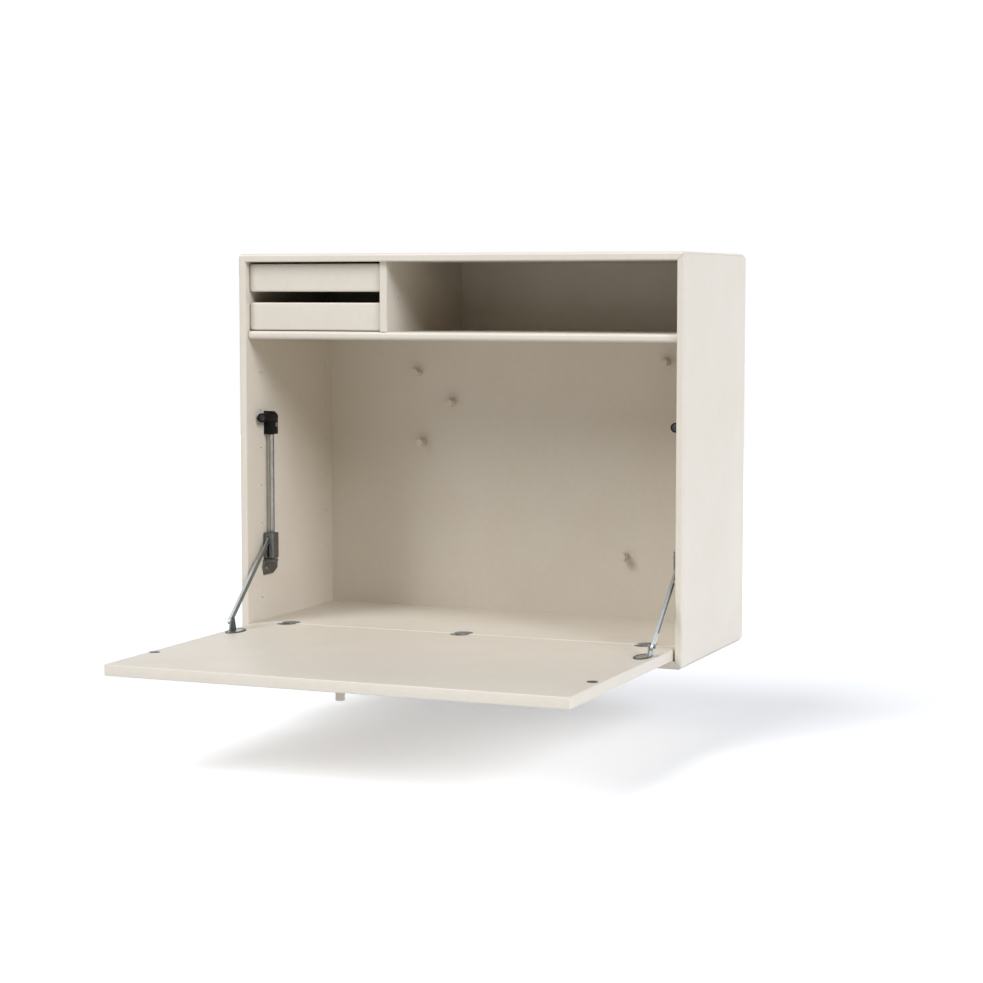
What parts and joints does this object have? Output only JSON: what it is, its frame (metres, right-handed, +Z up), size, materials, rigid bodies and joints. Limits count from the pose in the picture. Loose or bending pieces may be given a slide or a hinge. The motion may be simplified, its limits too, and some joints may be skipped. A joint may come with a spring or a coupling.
{
  "type": "fold-down wall desk",
  "caption": "Wall-hung cabinet with a drop leaf that folds down into a desk on slider stays, with a shelf, a divider, shallow trays and pegs inside.",
  "frame": {"origin": "centre of the cabinet's back, on the wall", "axes": "+X to the right for somebody facing the cabinet, +Y into the wall, +Z up; stored with the leaf open"},
  "size_m": [0.696, 0.7073, 0.5867],
  "materials": {
    "lacquer": "satin lacquer on fibreboard",
    "peg": "satin lacquer",
    "steel": "bright plated",
    "zinc": "satin grey plated",
    "dark_steel": "dark plated",
    "magnet": "ground",
    "black_plastic": "moulded"
  },
  "bodies": {
    "cabinet": {"panel_bottom": "lacquer", "panel_top": "lacquer", "panel_left": "lacquer", "panel_right": "lacquer", "back_panel": "lacquer", "shelf": "lacquer", "divider": "lacquer", "inner_floor": "lacquer", "pegs": "peg", "shelf_pins": "steel", "runner_lower_left": "black_plastic", "runner_lower_right": "black_plastic", "runner_upper_left": "black_plastic", "runner_upper_right": "black_plastic", "fixing_plates": "steel", "stay_heads": "black_plastic", "stay_rods": "steel", "stay_feet": "zinc", "stay_magnets": "magnet", "hinge_floor_halves": "zinc"},
    "leaf": {"leaf_panel": "lacquer", "leaf_knob": "peg", "leaf_brackets": "zinc", "arm_pins": "steel", "strikes": "dark_steel", "hinge_leaf_halves": "zinc"},
    "tray_lower": {"tray_front_lower": "lacquer", "tray_box_lower": "lacquer"},
    "tray_upper": {"tray_front_upper": "lacquer", "tray_box_upper": "lacquer"},
    "slider_left": {"stay_slider_left": "zinc"},
    "arm_left": {"stay_arm_left": "steel"},
    "slider_right": {"stay_slider_right": "zinc"},
    "arm_right": {"stay_arm_right": "steel"}
  },
  "joints": [
    {"name": "leaf_hinge", "type": "hinge", "parent": "cabinet", "child": "leaf", "pos_m": [0, -0.2744, -0.2689], "axis": [-1, 0, 0], "range_deg": [0, 90]},
    {"name": "slider_left_slide", "type": "slide", "parent": "cabinet", "child": "slider_left", "axis": [0, 0, 1], "range_m": [0, 0.126]},
    {"name": "arm_left_pivot", "type": "hinge", "parent": "leaf", "child": "arm_left", "pos_m": [0, -0.3665, -0.2485], "axis": [1, 0, 0], "range_deg": [0, 134.8]},
    {"name": "slider_right_slide", "type": "slide", "parent": "cabinet", "child": "slider_right", "axis": [0, 0, 1], "range_m": [0, 0.126]},
    {"name": "arm_right_pivot", "type": "hinge", "parent": "leaf", "child": "arm_right", "pos_m": [0, -0.3665, -0.2485], "axis": [1, 0, 0], "range_deg": [0, 134.8]},
    {"name": "tray_lower_slide", "type": "slide", "parent": "cabinet", "child": "tray_lower", "axis": [0, -1, 0], "range_m": [0, 0.15]},
    {"name": "tray_upper_slide", "type": "slide", "parent": "cabinet", "child": "tray_upper", "axis": [0, -1, 0], "range_m": [0, 0.15]}
  ],
  "couplings": [
    {"joint": "slider_left_slide", "follows": "leaf_hinge", "m_per_rad": 0.080124},
    {"joint": "arm_left_pivot", "follows": "leaf_hinge", "ratio": 1.4974},
    {"joint": "slider_right_slide", "follows": "leaf_hinge", "m_per_rad": 0.080124},
    {"joint": "arm_right_pivot", "follows": "leaf_hinge", "ratio": 1.4974}
  ]
}
